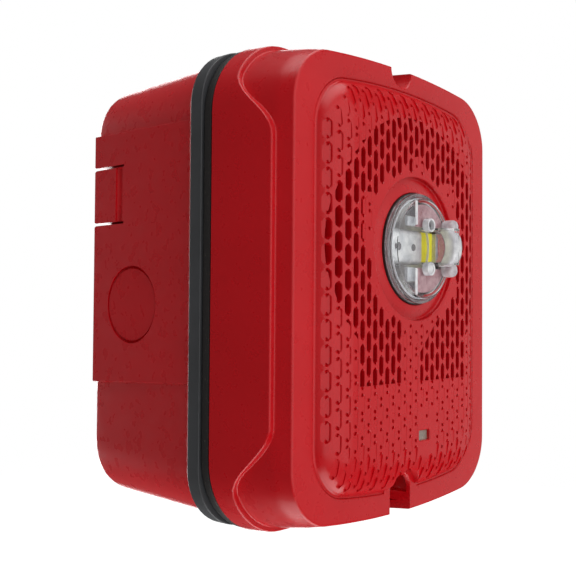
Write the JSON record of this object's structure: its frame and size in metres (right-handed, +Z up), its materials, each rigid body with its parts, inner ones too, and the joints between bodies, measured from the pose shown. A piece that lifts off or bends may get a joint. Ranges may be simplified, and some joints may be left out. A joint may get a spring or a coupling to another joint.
{
  "type": "wall horn strobe",
  "caption": "Red outdoor wall horn strobe with a clear domed LED strobe lens, slotted sounder grille, black weather gasket and deep conduit back box.",
  "frame": {"origin": "on the wall plane, at the centre of the back box's flat rear face", "axes": "+Z up the wall, -Y out of the wall towards the viewer (the strobe faces -Y, so +Y points into the wall), +X to the right as seen from the front"},
  "size_m": [0.1152, 0.1034, 0.144],
  "materials": {
    "housing_red": "moulded red flame-retardant plastic, fine satin texture",
    "plate_charcoal": "smooth charcoal plastic",
    "seal_rubber": "dusty black rubber",
    "black_plastic": "black moulded plastic",
    "lens_clear": "clear polycarbonate",
    "reflector_chrome": "bright vacuum-metallised reflector",
    "zinc_steel": "zinc-plated or stainless steel",
    "brass": "brass contact metal",
    "board_green": "green solder mask",
    "board_white": "white solder mask",
    "led_phosphor": "yellow LED phosphor",
    "window_smoke": "frosted viewing window",
    "white_plastic": "white moulded plastic"
  },
  "bodies": {
    "root": {"back_box": "housing_red", "box_seal": "seal_rubber", "mounting_plate": "plate_charcoal", "terminal_block": "black_plastic", "terminal_screw_1": "zinc_steel", "terminal_screw_2": "zinc_steel", "terminal_screw_3": "zinc_steel", "terminal_screw_4": "zinc_steel", "contact_spring_1": "brass", "contact_spring_2": "brass", "contact_spring_3": "brass", "contact_spring_4": "brass", "plate_screw_1": "zinc_steel", "plate_screw_2": "zinc_steel", "plate_screw_3": "zinc_steel", "plate_screw_4": "zinc_steel"},
    "front_unit": {"front_housing": "housing_red", "housing_gasket": "seal_rubber", "rear_cover": "black_plastic", "circuit_board": "board_green", "board_screw_1": "zinc_steel", "board_screw_2": "zinc_steel", "board_screw_3": "zinc_steel", "board_screw_4": "zinc_steel", "contact_pin_1": "brass", "contact_pin_2": "brass", "contact_pin_3": "brass", "contact_pin_4": "brass", "lens": "lens_clear", "lens_seal": "seal_rubber", "reflector": "reflector_chrome", "led_board": "board_white", "strobe_led_1": "led_phosphor", "strobe_led_2": "led_phosphor", "horn_body": "black_plastic", "sounder_case": "black_plastic", "sounder_magnet": "zinc_steel", "sounder_coil": "brass", "sounder_diaphragm": "zinc_steel", "storage_capacitor": "black_plastic", "ferrite_inductor": "black_plastic", "controller_chip": "black_plastic", "tone_switch_body": "black_plastic", "candela_window": "window_smoke", "top_screw_seal": "seal_rubber", "bottom_screw_seal": "seal_rubber"},
    "top_screw": {"top_screw": "zinc_steel"},
    "bottom_screw": {"bottom_screw": "zinc_steel"},
    "tone_dial": {"tone_dial": "white_plastic"},
    "candela_slider": {"candela_slider": "white_plastic"}
  },
  "joints": [
    {"name": "front_unit_pull", "type": "slide", "parent": "root", "child": "front_unit", "axis": [0, -1, 0], "range_m": [0, 0.06]},
    {"name": "top_screw_turn", "type": "hinge", "parent": "front_unit", "child": "top_screw", "pos_m": [0, -0.075, 0.066], "axis": [0, -1, 0], "continuous": true},
    {"name": "bottom_screw_turn", "type": "hinge", "parent": "front_unit", "child": "bottom_screw", "pos_m": [0, -0.075, -0.0621], "axis": [0, -1, 0], "continuous": true},
    {"name": "tone_dial_turn", "type": "hinge", "parent": "front_unit", "child": "tone_dial", "pos_m": [-0.026, -0.0605, -0.03], "axis": [0, 1, 0], "range_deg": [0, 280]},
    {"name": "candela_slide", "type": "slide", "parent": "front_unit", "child": "candela_slider", "axis": [1, 0, 0], "range_m": [0, 0.009]}
  ]
}
